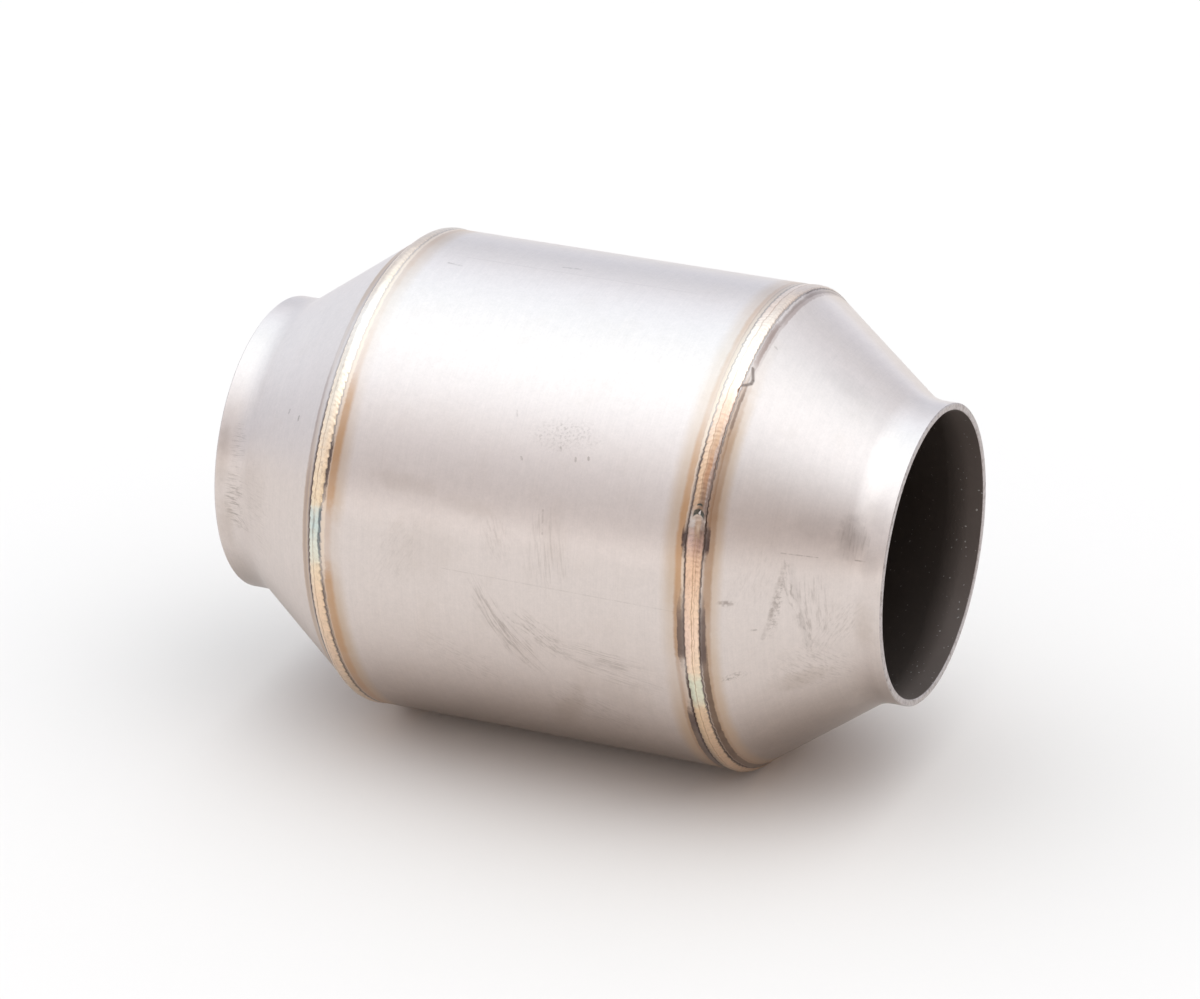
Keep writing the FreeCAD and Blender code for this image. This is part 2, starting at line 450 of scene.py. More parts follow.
class Wire:
    """A shader socket; Python's operators on it add Math nodes."""

    def __init__(self, board, socket):
        self.board = board
        self.socket = socket

    def maths(self, operation, *others):
        return self.board.node("ShaderNodeMath", {"operation": operation},
                               dict(enumerate((self,) + others)))

    def __add__(self, other):
        return self.maths("ADD", other)

    def __radd__(self, other):
        return self.maths("ADD", other)

    def __sub__(self, other):
        return self.maths("SUBTRACT", other)

    def __rsub__(self, other):
        return self.maths("MULTIPLY", -1.0) + other

    def __mul__(self, other):
        return self.maths("MULTIPLY", other)

    def __rmul__(self, other):
        return self.maths("MULTIPLY", other)

    def __truediv__(self, other):
        return self.maths("DIVIDE", other)

    def __neg__(self):
        return self.maths("MULTIPLY", -1.0)

    def __abs__(self):
        return self.maths("ABSOLUTE")

    def least(self, other):
        return self.maths("MINIMUM", other)

    def most(self, other):
        return self.maths("MAXIMUM", other)

    def step(self, low, high):
        """0 at low and below, 1 at high and above, with a soft step between."""
        return self.board.node("ShaderNodeMapRange", {"interpolation_type": "SMOOTHSTEP"},
                               {0: self, 1: low, 2: high})

    def band(self, middle, half, soft):
        """1 within a half width of the middle, fading to 0 over a soft edge."""
        return 1 - abs(self - middle).step(half, half + soft)

    def ramp(self, stops):
        """A colour or a number for each value between the first stop's and the last stop's."""
        first = stops[0][0]
        span = stops[-1][0] - first
        return self.board.node("ShaderNodeValToRGB", {"stops": [
            ((value - first) / span, tint) for value, tint in stops]}, {0: (self - first) / span})


class Board:
    """The nodes of one material or world."""

    def __init__(self, tree):
        self.tree = tree

    def node(self, kind, settings=None, sockets=None, output=0):
        """Adds a node: its settings first, then the values or links of its sockets."""
        made = self.tree.nodes.new(kind)
        for key, value in (settings or {}).items():
            if key == "stops":
                self.set_stops(made.color_ramp, value)
            else:
                setattr(made, key, value)
        for key, value in (sockets or {}).items():
            self.plug(value, made.inputs[key])
        return Wire(self, made.outputs[output])

    def set_stops(self, ramp, stops):
        while len(ramp.elements) < len(stops):
            ramp.elements.new(1.0)
        for element, (position, tint) in zip(ramp.elements, stops):
            element.position = position
            element.color = (*tint, 1) if isinstance(tint, tuple) else (tint, tint, tint, 1)

    def plug(self, value, socket):
        if isinstance(value, Wire):
            self.tree.links.new(value.socket, socket)
        elif isinstance(value, tuple) and socket.type == "RGBA":
            socket.default_value = (*value, 1)
        else:
            socket.default_value = value

    def split(self, vector):
        split = self.node("ShaderNodeSeparateXYZ", None, {0: vector}).socket.node
        return [Wire(self, socket) for socket in split.outputs]

    def noise(self, vector, scale, detail=3.0, roughness=0.5):
        """Noise with about scale grains a mm; scale may differ along the axes."""
        if isinstance(scale, tuple):
            vector = self.node("ShaderNodeMapping", None, {"Vector": vector, "Scale": scale})
            scale = 1.0
        return self.node("ShaderNodeTexNoise", None, {"Vector": vector, "Scale": scale,
                                                      "Detail": detail, "Roughness": roughness})

    def mix(self, share, first, second, blend="MIX"):
        return self.node("ShaderNodeMix", {"data_type": "RGBA", "blend_type": blend},
                         {0: share, 6: first, 7: second}, output=2)

    def grey(self, value):
        return self.node("ShaderNodeCombineColor", None, {0: value, 1: value, 2: value})

    def shade(self, colour, value):
        """A colour made darker or lighter by a number."""
        return self.mix(1.0, colour, self.grey(value), "MULTIPLY")


class Finish(Board):
    """A surface finish; its maths is in millimetres."""

    def __init__(self, name, **constants):
        self.material = bpy.data.materials.new(name)
        self.material.use_nodes = True
        super().__init__(self.material.node_tree)
        self.shader = self.tree.nodes["Principled BSDF"]
        for socket, value in constants.items():
            self.plug(value, self.shader.inputs[socket.replace("_", " ")])
        metres = self.node("ShaderNodeTexCoord", output="Object")
        self.place = self.node("ShaderNodeVectorMath", {"operation": "SCALE"},
                               {0: metres, "Scale": 1000.0})
        self.x, self.y, self.z = self.split(self.place)
        self.clock = self.z.maths("ARCTAN2", -self.y) * (180 / math.pi)

    def set(self, socket, value):
        self.plug(value, self.shader.inputs[socket])

    def set_bump(self, height, strength):
        """Height in mm."""
        self.set("Normal", self.node("ShaderNodeBump", None, {
            "Height": height, "Strength": strength, "Distance": MM}))


# ---------------------------------------------------------------- heat tints of the welds

STEEL = (0.72, 0.645, 0.605)
# Painted shade of the underside, together with a faint brown stain
UNDERSIDE_SHADE_AND_STAIN = (0.45, 0.38, 0.335)
TOE_LINE = (0.075, 0.045, 0.034)
SOOT = (0.145, 0.105, 0.093)
DARK_BROWN = (0.15, 0.098, 0.07)
BRUISE = (0.05, 0.034, 0.042)
BLUE_GREY = (0.10, 0.12, 0.14)
GOLD = (0.54, 0.32, 0.175)
HALO = (0.58, 0.435, 0.31)
BROWN = (0.40, 0.235, 0.135)
TAN = (0.66, 0.47, 0.30)
MAUVE = (0.43, 0.335, 0.30)
CREAM = (0.82, 0.68, 0.55)
SMOKE = (0.40, 0.32, 0.29)
MOST_MM = 3

# Each tint: how far from the bead's middle along the sheet (towards the cone is positive),
# half width, soft edge, colour, and its strength by clock angle
OUTLET_TINTS = [
    (-5.20, 0.60, 4.0, HALO, [
        (-180, 0.9), (-35, 0.9), (-22, 0.5), (-12, 0.3), (0, 0.5), (12, 0.7), (30, 0.75),
        (42, 0.45), (60, 0.3), (90, 0.45)]),
    (-3.85, 0.55, 1.1, GOLD, [
        (-180, 0.4), (-60, 0.4), (-30, 0.3), (-12, 0.2), (-8, 0.5), (8, 0.75), (25, 0.95),
        (35, 0.7), (50, 0.25), (62, 0.3), (78, 0.4), (105, 0.2)]),
    (-2.80, 0.30, 0.30, CREAM, [
        (-180, 0.4), (-30, 0.2), (6, 0.3), (9, 0.7), (22, 0.3), (45, 0.8), (110, 0.8)]),
    (-4.50, 0.20, 0.80, BROWN, [
        (-180, 0.3), (-60, 0.3), (-24, 0.4), (-15, 0.25), (-9, 0.5), (4, 0.5), (10, 0.0)]),
    (-3.05, 0.95, 0.35, SOOT, [
        (-180, 0.5), (-60, 0.7), (-27, 0.85), (-20.5, 0.0), (-12.2, 0.0), (-8, 0.9), (0, 0.85),
        (9.5, 0.0)]),
    (-2.90, 0.50, 0.40, BRUISE, [
        (-180, 0.0), (15.5, 0.0), (18.5, 0.95), (20, 0.95), (24, 0.0)]),
    (-2.40, 0.25, 0.30, SOOT, [
        (-180, 0.4), (-22, 0.5), (-20, 0.95), (-15, 0.7), (-12, 0.2), (10, 0.2), (25, 0.5),
        (38, 0.6), (42, 0.0)]),
    (-2.25, 0.12, 0.25, TOE_LINE, [
        (-180, 0.8), (-22, 0.9), (-16, 0.8), (-8, 0.4), (5, 0.5), (10, 0.8), (40, 0.75),
        (50, 0.35), (65, 0.3), (80, 0.45), (100, 0.4)]),
    (5.00, 0.60, 3.0, HALO, [
        (-180, 0.9), (-30, 0.9), (0, 0.5), (25, 0.8), (45, 0.7), (60, 0.2), (80, 0.0),
        (110, 0.1)]),
    (4.10, 0.60, 0.9, BROWN, [
        (-180, 0.4), (-30, 0.4), (-10, 0.45), (6, 0.6), (15, 0.6), (44, 0.65), (54, 0.3),
        (64, 0.0), (110, 0.0)]),
    (2.95, 0.50, 0.30, BROWN, [
        (-180, 0.3), (-50, 0.4), (-12, 0.2), (4, 0.1), (9, 0.15), (15, 0.3), (30, 0.7),
        (44, 0.65), (58, 0.5), (64, 0.0)]),
    (3.95, 0.55, 0.45, MAUVE, [
        (-180, 0.0), (60, 0.0), (65, 0.35), (80, 0.45), (82, 0.7), (97, 0.65), (115, 0.5)]),
    (3.25, 0.55, 0.30, MAUVE, [(-180, 0.0), (60.5, 0.0), (65, 0.9), (79, 0.85), (80.8, 0.0)]),
    (3.00, 0.75, 0.30, SMOKE, [(-180, 0.0), (96, 0.0), (99.5, 0.8), (112, 0.8), (125, 0.0)]),
    (3.30, 0.30, 0.25, SOOT, [
        (-180, 0.0), (44.5, 0.0), (46.5, 0.6), (55, 0.5), (58, 0.2), (62, 0.0)]),
    (3.45, 0.60, 0.35, DARK_BROWN, [
        (-180, 0.5), (-60, 0.7), (-46, 0.9), (-14, 0.75), (-6, 0.45), (8, 0.0)]),
    (2.90, 0.75, 0.30, SOOT, [(-180, 0.0), (-14, 0.0), (-8.5, 0.8), (0, 0.85), (10, 0.0)]),
    (2.90, 0.60, 0.40, BRUISE, [
        (-180, 0.0), (15, 0.0), (18, 0.8), (20.5, 0.85), (24.5, 0.1), (30, 0.0)]),
    (2.25, 0.14, 0.25, TOE_LINE, [
        (-180, 0.9), (-50, 1.0), (-20, 0.8), (0, 0.6), (15, 0.8), (25, 0.9), (40, 0.6),
        (54, 0.4), (60, 0.35), (80, 0.35), (95, 0.45), (110, 0.8)]),
]
INLET_TINTS = [
    (-5.10, 0.60, 4.0, HALO, [
        (-180, 0.9), (-30, 0.9), (-16, 0.8), (-6, 0.55), (1, 0.15), (8, 0.15), (14, 0.6),
        (25, 0.6), (45, 0.15), (60, 0.15), (90, 0.5)]),
    (-4.10, 0.55, 1.4, GOLD, [
        (-180, 0.5), (-45, 0.6), (-22, 0.75), (-5, 0.7), (2, 0.2), (11, 0.35), (15, 0.7),
        (25, 0.9), (36, 0.8), (45, 0.3), (60, 0.15), (90, 0.25)]),
    (-2.85, 0.30, 0.40, CREAM, [
        (-180, 0.5), (-5, 0.2), (2, 0.8), (11, 0.8), (16, 0.3), (28, 0.3), (40, 0.7),
        (110, 0.7)]),
    (3.80, 1.50, 0.60, MAUVE, [
        (-180, 0.5), (-30, 0.4), (5, 0.6), (17, 0.65), (26, 0.1), (46, 0.0), (62, 0.3),
        (74, 0.8), (95, 0.95)]),
    (4.60, 0.70, 1.1, HALO, [
        (-180, 0.8), (-20, 0.7), (18, 0.6), (28, 0.4), (40, 0.1), (60, 0.3), (80, 0.8)]),
    (4.60, 0.30, 0.40, MAUVE, [
        (-180, 0.2), (-30, 0.2), (-10, 0.5), (18, 0.7), (26, 0.2), (66, 0.0), (78, 0.5),
        (95, 0.6)]),
    (5.40, 0.25, 0.50, MAUVE, [
        (-180, 0.3), (-20, 0.2), (20, 0.4), (32, 0.7), (42, 0.6), (50, 0.2), (90, 0.2)]),
    (2.55, 0.25, 0.45, SOOT, [
        (-180, 0.4), (-30, 0.6), (-15, 0.6), (0, 0.5), (15, 0.65), (32, 0.6), (40, 0.3),
        (60, 0.15), (80, 0.2), (110, 0.2)]),
    (-2.50, 0.25, 0.30, SOOT, [
        (-180, 0.3), (-14, 0.5), (-9, 0.7), (-5, 0.3), (0, 0.0), (13, 0.0), (19, 0.95),
        (27, 0.9), (29, 0.1)]),
    (-2.25, 0.10, 0.25, TOE_LINE, [
        (-180, 0.6), (-15, 0.6), (0, 0.4), (10, 0.2), (30, 0.5), (45, 0.15), (60, 0.1),
        (90, 0.3)]),
    (2.22, 0.20, 0.30, TOE_LINE, [
        (-180, 0.8), (-20, 0.8), (5, 0.85), (20, 0.8), (32, 0.8), (42, 0.3), (60, 0.2),
        (110, 0.2)]),
]


def by_clock(finish, table):
    """A table of millimetres, each within MOST_MM, read by clock angle on the surface."""
    span = 2 * MOST_MM
    shares = [(clock, (value + MOST_MM) / span) for clock, value in closed(table)]
    return finish.clock.ramp(shares) * span - MOST_MM


def along_sheet(finish, outlet):
    """Place across a bead: 0 in its middle, TOE at its cone toe, -TOE at its barrel toe.

    Past the toes it goes on in mm along the sheet.
    """
    off = (finish.x if outlet else -finish.x) - CORNER_X / MM
    along = off.least(0.0) + off.most(0.0) / math.cos(CONE_SLOPE)
    reach = along - by_clock(finish, OUTLET_WANDER if outlet else INLET_WANDER)
    narrow = TOE - by_clock(finish, OUTLET_WIDTHS if outlet else INLET_WIDTHS)
    return reach + (reach / TOE).least(1.0).most(-1.0) * narrow


def toe_teeth(finish, outlet):
    return tooth(finish.clock) * by_clock(finish, OUTLET_TEETH if outlet else INLET_TEETH)


def lay_tints(finish, colour, outlet):
    """Lays a weld's tints over a colour, frayed by noise and by the toes' teeth."""
    reach = along_sheet(finish, outlet)
    fray = finish.noise(finish.place, 0.5, detail=5.0, roughness=0.65) - 0.5
    patches = finish.noise(finish.place, 0.10, detail=4.0, roughness=0.6)
    near_toe = abs(reach).band(TOE, 0.4, 0.5) * (reach * 4).least(1.0).most(-1.0)
    frayed = reach + 0.9 * fray - near_toe * toe_teeth(finish, outlet)
    clock = finish.clock + 7 * fray + 5 * (patches - 0.5)
    for middle, half, soft, tint, strengths in OUTLET_TINTS if outlet else INLET_TINTS:
        strength = clock.ramp(closed(strengths))
        amount = (strength * (0.6 + 0.8 * patches)).least(1.0)
        tapered = half * (1.8 * strength).least(1.0)
        colour = finish.mix(frayed.band(middle, tapered, soft) * amount, colour, tint)
    return colour


# ---------------------------------------------------------------- finishes

PER_DEGREE = BARREL_RADIUS / MM * math.pi / 180
SCRATCHED = (0.33, 0.275, 0.245)
BLOTCHED = (0.66, 0.575, 0.52)
SCRATCH_DEPTH = 0.012
SHEET_ROUGHNESS = 0.36
BEAD_ROUGHNESS = 0.30


def patch_axes(finish, centre, heading):
    """Places along and across a heading, from a centre given as (x in mm, clock angle)."""
    cosine = math.cos(math.radians(heading))
    sine = math.sin(math.radians(heading))
    off_x = finish.x - centre[0]
    off_s = (finish.clock - centre[1]) * PER_DEGREE
    return off_x * cosine + off_s * sine, off_s * cosine - off_x * sine


def scratch(finish, start, end, width):
    """1 on a straight scratch from start to end, each (x in mm, clock angle)."""
    run_x = end[0] - start[0]
    run_s = (end[1] - start[1]) * PER_DEGREE
    length = math.hypot(run_x, run_s)
    heading = math.degrees(math.atan2(run_s, run_x))
    along, aside = patch_axes(finish, start, heading)
    past = (along - length).most(-along).most(0.0)
    return 1 - (past + abs(aside)).step(width * 0.25, width)


def stain(finish, ragged, centre, half_size, heading):
    """A soft patch that fades out towards its ragged edge."""
    along, aside = patch_axes(finish, centre, heading)
    along = along / half_size[0]
    aside = aside / half_size[1]
    return 1 - (along * along + aside * aside + ragged).step(-0.2, 1.0)


def scuffs(finish, ragged, centre, half_size, heading, grain):
    """Fine scratches in a patch; grain is how quickly they change along and across."""
    along, aside = patch_axes(finish, centre, heading)
    spread = finish.node("ShaderNodeCombineXYZ", None,
                         {0: along * grain[0], 1: aside * grain[1], 2: centre[0]})
    lines = finish.noise(spread, 1.0, detail=3.0, roughness=0.65).step(0.45, 0.68)
    return lines * stain(finish, ragged, centre, half_size, heading)


def brushed_sheet(name, scratches=(), scuffed=(), stains=()):
    """Stainless sheet brushed round the axis, with the marks of its making and handling, and
    painted shade towards its underside.
    """
    finish = Finish(name, Metallic=1.0, Anisotropic=0.9)
    grain = finish.noise(finish.place, (2.6, 0.05, 0.05), detail=2.0, roughness=0.6)
    streaks = finish.noise(finish.place, (0.5, 0.014, 0.014), detail=3.0, roughness=0.6)
    speckle = finish.noise(finish.place, 1.6, detail=2.0, roughness=0.7)
    clouds = finish.noise(finish.place, 0.03, detail=5.0)
    blotches = finish.noise(finish.place, 0.11, detail=4.0, roughness=0.6).step(0.5, 0.75)
    sand = finish.noise(finish.place, 0.45, detail=4.0, roughness=0.75)
    tone = 1.0 + 0.08 * (grain - 0.5) + 0.05 * (streaks - 0.5) + 0.06 * (clouds - 0.5)
    tone = tone + 0.12 * (speckle - 0.5) + 0.16 * (sand - 0.5)
    # Painted shade: the sheet turns darker and browner towards its underside by clock angle,
    # partly a faint brown stain and mostly the shade under the body
    underside_shade_and_stain = (-finish.clock.maths("RADIANS").maths("SINE") + 0.1 * (clouds - 0.5)).step(0.3, 0.85)
    colour = finish.mix(underside_shade_and_stain, STEEL, UNDERSIDE_SHADE_AND_STAIN)
    colour = finish.mix(blotches * 0.2, colour, BLOTCHED)
    colour = finish.shade(colour, tone)
    breaks = finish.noise(finish.place, 0.9, detail=3.0).step(0.3, 0.6)
    marks = [(scratch(finish, start, end, width) * breaks, strength)
             for start, end, width, strength in scratches]
    ragged = 1.6 * (finish.noise(finish.place, 0.25, detail=5.0, roughness=0.65) - 0.5)
    marks += [(scuffs(finish, ragged, centre, half_size, heading, grain_size), strength)
              for centre, half_size, heading, grain_size, strength in scuffed]
    dents = 0.0
    for mark, strength in marks:
        colour = finish.mix(mark * strength, colour, SCRATCHED)
        dents = dents + mark * (SCRATCH_DEPTH * strength)
    for centre, half_size, heading, tint, strength in stains:
        patch = stain(finish, ragged, centre, half_size, heading)
        colour = finish.mix(patch * strength, colour, tint)
    finish.set("Roughness", SHEET_ROUGHNESS + 0.05 * (streaks - 0.5) + 0.05 * (clouds - 0.5))
    finish.set_bump(0.004 * grain + 0.004 * streaks + 0.003 * speckle - dents, 0.6)
    return finish, colour


FINE = (0.10, 1.6)
SHORT = (0.30, 1.5)
DOTS = (1.3, 1.3)
HANDLED = (0.42, 0.34, 0.28)
GREYED = (0.36, 0.32, 0.30)

# Scratches: from, to (x in mm, clock angle), width, strength.  Scuffs: middle, half size,
# heading, grain, strength.  Stains: middle, half size, heading, colour, strength.
BARREL_SCRATCHES = [
    ((-17, 2.8), (48, 2.4), 0.25, 0.18), ((-36, 86), (29, 86), 0.35, 0.15),
    ((-39.5, 82), (-35.5, 81.6), 0.5, 0.45), ((-10, 88.7), (-5, 89.2), 0.5, 0.45),
    ((-2.7, 42.1), (-2.2, 40.6), 0.35, 0.5), ((16.2, 33.4), (16.4, 32.6), 0.45, 0.6),
    ((11.5, 35.2), (11.9, 34.4), 0.45, 0.5), ((19.6, 34.0), (19.8, 33.4), 0.5, 0.6),
    ((1.5, 31.5), (2.0, 30.9), 0.45, 0.5), ((0.4, -5.8), (3.5, -8.0), 0.35, 0.35),
    ((-7.5, 0.0), (-2.5, -10.0), 0.30, 0.28), ((-4.5, -3.0), (2.0, -13.0), 0.35, 0.30),
    ((-1.0, -9.0), (6.0, -19.0), 0.35, 0.30), ((10.0, 20.5), (10.6, 15.0), 0.40, 0.35),
    ((16.5, -11.5), (38.0, -14.5), 0.30, 0.20), ((12.0, -13.0), (27.0, -17.5), 0.30, 0.20)]
BARREL_SCUFFS = [
    ((-2, -8), (15, 4.5), -60, FINE, 0.55), ((4, -14), (13, 4.5), -48, FINE, 0.6),
    ((10, -10), (11, 5.0), -38, SHORT, 0.6), ((25, -13.5), (20, 4.5), -6, FINE, 0.5),
    ((31, -18), (16, 4.5), -10, FINE, 0.35), ((12, 11), (13, 8.0), -82, FINE, 0.35),
    ((12, 38), (12, 6.0), 0, DOTS, 0.45), ((-14, -22), (18, 8.0), -25, SHORT, 0.22),
    ((22, -32), (18, 9.0), -30, SHORT, 0.35), ((-2, 12), (9, 5.0), -70, SHORT, 0.25),
    ((-30, 5), (14, 9.0), 60, SHORT, 0.15)]
BARREL_STAINS = [
    ((14.5, -34), (15, 5.0), 64, HANDLED, 0.35), ((-23, 6), (14, 11), 10, HANDLED, 0.12),
    ((-29, 21), (13, 3.5), -3, HANDLED, 0.20), ((-10, 18.5), (12, 3), -4, HANDLED, 0.14),
    ((14, 15), (11, 5), -80, HANDLED, 0.14), ((30, -24), (14, 6), -20, HANDLED, 0.15)]
OUTLET_CONE_SCRATCHES = [
    ((70.6, 18.8), (78.6, 18.5), 0.30, 0.45), ((86.8, 18.9), (89.2, 18.9), 0.40, 0.6),
    ((71.6, 15.4), (71.2, 10.5), 0.8, 0.22), ((71.2, 10.5), (70.4, 4.5), 1.0, 0.32),
    ((70.4, 4.5), (69.6, 0.5), 1.0, 0.42), ((69.6, 0.5), (67.8, -6.3), 0.8, 0.28),
    ((58.3, 5.0), (60.4, 5.1), 0.8, 0.65), ((59.6, 4.4), (61.3, 4.9), 1.0, 0.5),
    ((65.4, -3.2), (66.4, -3.3), 0.45, 0.6), ((56.4, 72.8), (57.0, 72.4), 0.5, 0.45)]
LAP_EDGE = [((52.4, 55.6), (53.0, 57.3), 0.65), ((53.0, 57.3), (54.4, 58.3), 0.55),
            ((54.4, 58.3), (55.3, 59.3), 0.55), ((55.3, 59.3), (55.4, 60.4), 0.55),
            ((55.4, 60.4), (54.3, 63.4), 0.55)]
DARK_METAL = (0.20, 0.16, 0.14)
OUTLET_CONE_SCUFFS = [
    ((73.8, 6), (15, 1.6), -80, SHORT, 0.6), ((76.6, -4), (15, 2.0), -84, SHORT, 0.5),
    ((70.6, 4), (15, 1.6), 84, DOTS, 0.7),
    ((78.5, 3), (15, 5.0), -86, FINE, 0.45), ((61, -16.5), (4.0, 1.8), 0, DOTS, 0.9),
    ((78, -21), (16, 10), -62, SHORT, 0.35), ((86, 26), (11, 5.0), 90, FINE, 0.45),
    ((84, -6), (16, 6.0), 70, SHORT, 0.3), ((66, 10), (14, 8.0), 80, SHORT, 0.15)]
OUTLET_CONE_STAINS = [
    ((74.3, 9), (9, 1.2), -82, GREYED, 0.18), ((76.6, -5), (10, 1.3), -85, GREYED, 0.20),
    ((90.5, 36), (11, 5), 90, GREYED, 0.20),
    ((85.5, 27), (11, 4.5), 90, GREYED, 0.42), ((78, 28), (8, 7), 60, GREYED, 0.15),
    ((75, -24), (9, 5), 0, HANDLED, 0.28), ((90, -5), (16, 3.5), 90, HANDLED, 0.22),
    ((90.5, 17), (9, 3), 90, GREYED, 0.25), ((74, 78), (9, 7), 0, GREYED, 0.12)]
INLET_CONE_SCRATCHES = [
    ((-70.1, 35.2), (-70.3, 33.9), 0.4, 0.5), ((-65.6, 33.2), (-65.7, 32.0), 0.5, 0.7)]
INLET_CONE_SCUFFS = [
    ((-88.5, 0), (3.6, 19.0), 0, SHORT, 0.8), ((-88, 22), (3.2, 12.0), 0, SHORT, 0.5),
    ((-86, -9), (5, 4.0), -50, SHORT, 0.5), ((-80, 0), (8, 22.0), 0, SHORT, 0.2)]
INLET_CONE_STAINS = [
    ((-92.5, 16), (16, 2.6), 90, HANDLED, 0.35), ((-91.5, -10), (16, 3.0), 90, HANDLED, 0.25),
    ((-80, 8), (14, 6), 90, HANDLED, 0.10)]


def barrel_finish():
    finish, colour = brushed_sheet("brushed_barrel", BARREL_SCRATCHES, BARREL_SCUFFS,
                                   BARREL_STAINS)
    seam = finish.clock.band(SEAM_CLOCK, 1.6, 0.3)
    colour = finish.mix(seam * 0.35, colour, TAN)
    colour = lay_tints(finish, lay_tints(finish, colour, outlet=True), outlet=False)
    finish.set("Base Color", colour)
    return finish.material


def cone_finish(outlet):
    if outlet:
        finish, colour = brushed_sheet("brushed_outlet_cone", OUTLET_CONE_SCRATCHES,
                                       OUTLET_CONE_SCUFFS, OUTLET_CONE_STAINS)
    else:
        finish, colour = brushed_sheet("brushed_inlet_cone", INLET_CONE_SCRATCHES,
                                       INLET_CONE_SCUFFS, INLET_CONE_STAINS)
    colour = lay_tints(finish, colour, outlet)
    for start, end, width in LAP_EDGE if outlet else ():
        colour = finish.mix(scratch(finish, start, end, width) * 0.85, colour, DARK_METAL)
    finish.set("Base Color", colour)
    return finish.material


# Painted shade: the inside of the ends is coloured dark for the shade within them
INSIDE_SHADE_LIGHT = (0.23, 0.19, 0.17)
INSIDE_SHADE_DARK = (0.16, 0.125, 0.108)
BRIGHT_SPECK = (0.75, 0.72, 0.68)
CUT_STEEL = (0.52, 0.475, 0.46)
NICKED_STEEL = (0.34, 0.29, 0.27)
CREASE_BROWN = (0.36, 0.22, 0.13)
CRATER_BLACK = (0.06, 0.065, 0.057)


def shaded_inside_finish():
    """The dull inside, its colour painted dark for the shade within the hollow ends, with a few
    bright specks.
    """
    finish = Finish("oxidised_inside", Metallic=0.6)
    clouds = finish.noise(finish.place, 0.06, detail=5.0)
    specks = finish.noise(finish.place, 1.3, detail=0.0).step(0.80, 0.83)
    colour = finish.mix(clouds, INSIDE_SHADE_LIGHT, INSIDE_SHADE_DARK)
    finish.set("Base Color", finish.mix(specks * 0.7, colour, BRIGHT_SPECK))
    finish.set("Roughness", 0.52 + 0.1 * (clouds - 0.5))
    return finish.material


def rim_finish():
    """The cut edge of a neck, a little duller than the sheet and nicked."""
    finish = Finish("cut_edge", Metallic=1.0)
    nicks = finish.noise(finish.place, 0.7, detail=4.0, roughness=0.7)
    colour = finish.mix(nicks.step(0.45, 0.7), CUT_STEEL, NICKED_STEEL)
    finish.set("Base Color", colour)
    finish.set("Roughness", 0.45 + 0.2 * (nicks - 0.5))
    finish.set_bump(0.03 * nicks, 0.8)
    return finish.material


def bead_finish(name, outlet, barrel_half, cone_half, creases, tints, edges):
    """Weld metal; its colour by clock angle differs between its barrel and cone halves."""
    finish = Finish(name, Metallic=1.0)
    reach = along_sheet(finish, outlet)
    mottle = finish.noise(finish.place, 0.9, detail=5.0, roughness=0.65)
    waver = finish.noise(finish.place, 0.35, detail=3.0) - 0.5
    side = (reach + 0.8 * waver).step(-0.9, 0.1)
    clock = finish.clock + 5 * waver
    colour = finish.mix(side, clock.ramp(closed(barrel_half)), clock.ramp(closed(cone_half)))
    flecks = finish.noise(finish.place, (1.4, 0.7, 0.7), detail=4.0, roughness=0.7)
    flecked = flecks.step(0.48, 0.72) * clock.ramp(closed(FLECKED))
    colour = finish.mix(flecked, colour, EYE_BROWN)
    colour = finish.shade(colour, 0.80 + 0.40 * mottle)
    outer = reach * reach / (TOE * TOE)
    bow = outer * RIPPLE_BOW
    crest = sine((finish.clock * (RIPPLES / 360) + bow + 0.9 * waver) * (2 * math.pi))
    outer = outer.least(1.0)
    colour = finish.shade(colour, 1.0 + 0.06 * outer * crest)
    teeth = toe_teeth(finish, outlet)
    colour = finish.shade(colour, 1.0 + outer * teeth * 0.5)
    grooves = 0.0
    for place, strengths in creases:
        line = (reach + 1.1 * waver).band(place, 0.03, 0.22)
        line = line * finish.clock.ramp(closed(strengths))
        colour = finish.mix(line * 0.7, colour, CREASE_BROWN)
        grooves = grooves + 0.05 * line
    edge = (abs(reach + 0.4 * waver) - teeth).step(TOE - 0.35, TOE)
    colour = finish.mix(edge * finish.clock.ramp(closed(edges)), colour, TOE_LINE)
    for middle, half, soft, tint, strengths in tints:
        share = (reach + 1.2 * waver).band(middle, half, soft)
        share = share * (finish.clock + 4 * waver).ramp(closed(strengths))
        colour = finish.mix(share * (0.5 + mottle).least(1.0), colour, tint)
    if outlet:
        turn = (finish.clock - CRATER_CLOCK) * PER_DEGREE + 0.45 * reach * reach + 0.9 * waver
        rings = turn.band(0.3, 0.45, 0.5) + turn.band(2.0, 0.1, 0.3) * reach.band(0, 0.6, 0.4)
        crater = rings.least(1.0) * reach.band(0.1, 1.2, 0.6)
        colour = finish.mix(crater * (0.4 + mottle).least(1.0), colour, CRATER_BLACK)
        grooves = grooves + 0.03 * crater
    finish.set("Base Color", colour)
    finish.set("Roughness", BEAD_ROUGHNESS + 0.16 * (mottle - 0.5))
    finish.set_bump(0.03 * mottle + 0.010 * crest - grooves, 0.7)
    return finish.material


MANTLE_GREY = (0.42, 0.39, 0.36)
STITCH_TAN = (0.55, 0.48, 0.40)
PALE_COATING = (0.32, 0.28, 0.23)
DARK_COATING = (0.24, 0.20, 0.16)


def plain_steel(name, colour, roughness):
    finish = Finish(name, Metallic=1.0)
    clouds = finish.noise(finish.place, 0.09, detail=4.0)
    grain = finish.noise(finish.place, (1.5, 0.05, 0.05), detail=2.0)
    finish.set("Base Color", finish.shade(colour, 0.75 + 0.3 * clouds + 0.1 * grain))
    finish.set("Roughness", roughness + 0.15 * (clouds - 0.5))
    return finish.material


